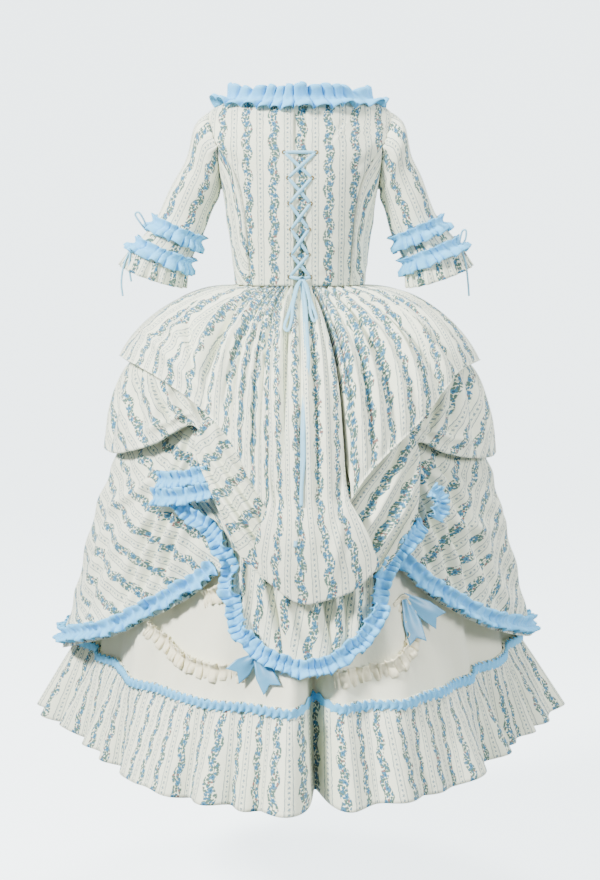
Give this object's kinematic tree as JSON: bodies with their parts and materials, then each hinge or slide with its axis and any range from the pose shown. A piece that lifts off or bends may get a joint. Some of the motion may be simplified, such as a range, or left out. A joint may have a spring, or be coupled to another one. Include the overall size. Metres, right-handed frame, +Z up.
{
  "type": "rococo dress with a laced back and a looped-up overskirt, worn and hollow",
  "caption": "Hollow worn dress of striped floral cotton: laced bodice, elbow sleeves with ruffles, looped-up overskirt with blue ruffles over a flounced cream petticoat.",
  "frame": {"origin": "the middle of the shoulder line, where the wearer's shoulders carry the dress", "axes": "+Z up along the length of the dress, -Y out of the laced back, +X towards the wearer's right"},
  "size_m": [1.1395, 1.0884, 1.3268],
  "materials": {
    "printed_cotton": "matte cotton printed with floral stripes",
    "cream_cotton": "matte cream cotton",
    "blue_cotton": "matte light blue cotton",
    "lacing_ribbon": "soft satin ribbon",
    "satin_ribbon": "satin",
    "eyelet_brass": "antique"
  },
  "bodies": {
    "root": {"bodice_back_left": "printed_cotton", "bodice_back_right": "printed_cotton", "bodice_side_left": "printed_cotton", "bodice_side_right": "printed_cotton", "bodice_front": "printed_cotton", "eyelet_left_1": "eyelet_brass", "eyelet_left_2": "eyelet_brass", "eyelet_left_3": "eyelet_brass", "eyelet_left_4": "eyelet_brass", "eyelet_left_5": "eyelet_brass", "eyelet_left_6": "eyelet_brass", "eyelet_right_1": "eyelet_brass", "eyelet_right_2": "eyelet_brass", "eyelet_right_3": "eyelet_brass", "eyelet_right_4": "eyelet_brass", "eyelet_right_5": "eyelet_brass", "eyelet_right_6": "eyelet_brass", "lacing_modesty_panel": "printed_cotton", "sleeve_left": "printed_cotton", "sleeve_front_left": "printed_cotton", "sleeve_ruffle_upper_left": "blue_cotton", "sleeve_ruffle_lower_left": "blue_cotton", "cuff_flounce_left": "printed_cotton", "sleeve_right": "printed_cotton", "sleeve_front_right": "printed_cotton", "sleeve_ruffle_upper_right": "blue_cotton", "sleeve_ruffle_lower_right": "blue_cotton", "cuff_flounce_right": "printed_cotton", "neck_ruffle": "blue_cotton", "petticoat": "cream_cotton", "petticoat_flounce": "printed_cotton", "flounce_trim": "blue_cotton", "overskirt_left": "printed_cotton", "overskirt_right": "printed_cotton", "overskirt_centre": "printed_cotton", "overskirt_puff_left": "printed_cotton", "overskirt_puff_right": "printed_cotton", "side_drape_left": "printed_cotton", "side_drape_right": "printed_cotton", "overskirt_cowl_left": "printed_cotton", "overskirt_cowl_right": "printed_cotton", "overskirt_tail": "printed_cotton", "drape_ruffle_left": "blue_cotton", "drape_ruffle_right": "blue_cotton", "tail_ruffle": "blue_cotton", "petticoat_ruffle_left": "cream_cotton", "petticoat_ruffle_right": "cream_cotton", "lacing": "lacing_ribbon", "lacing_tail_long": "lacing_ribbon", "lacing_tail_short": "lacing_ribbon", "satin_bow_left": "satin_ribbon", "satin_bow_right": "satin_ribbon"}
  },
  "joints": []
}
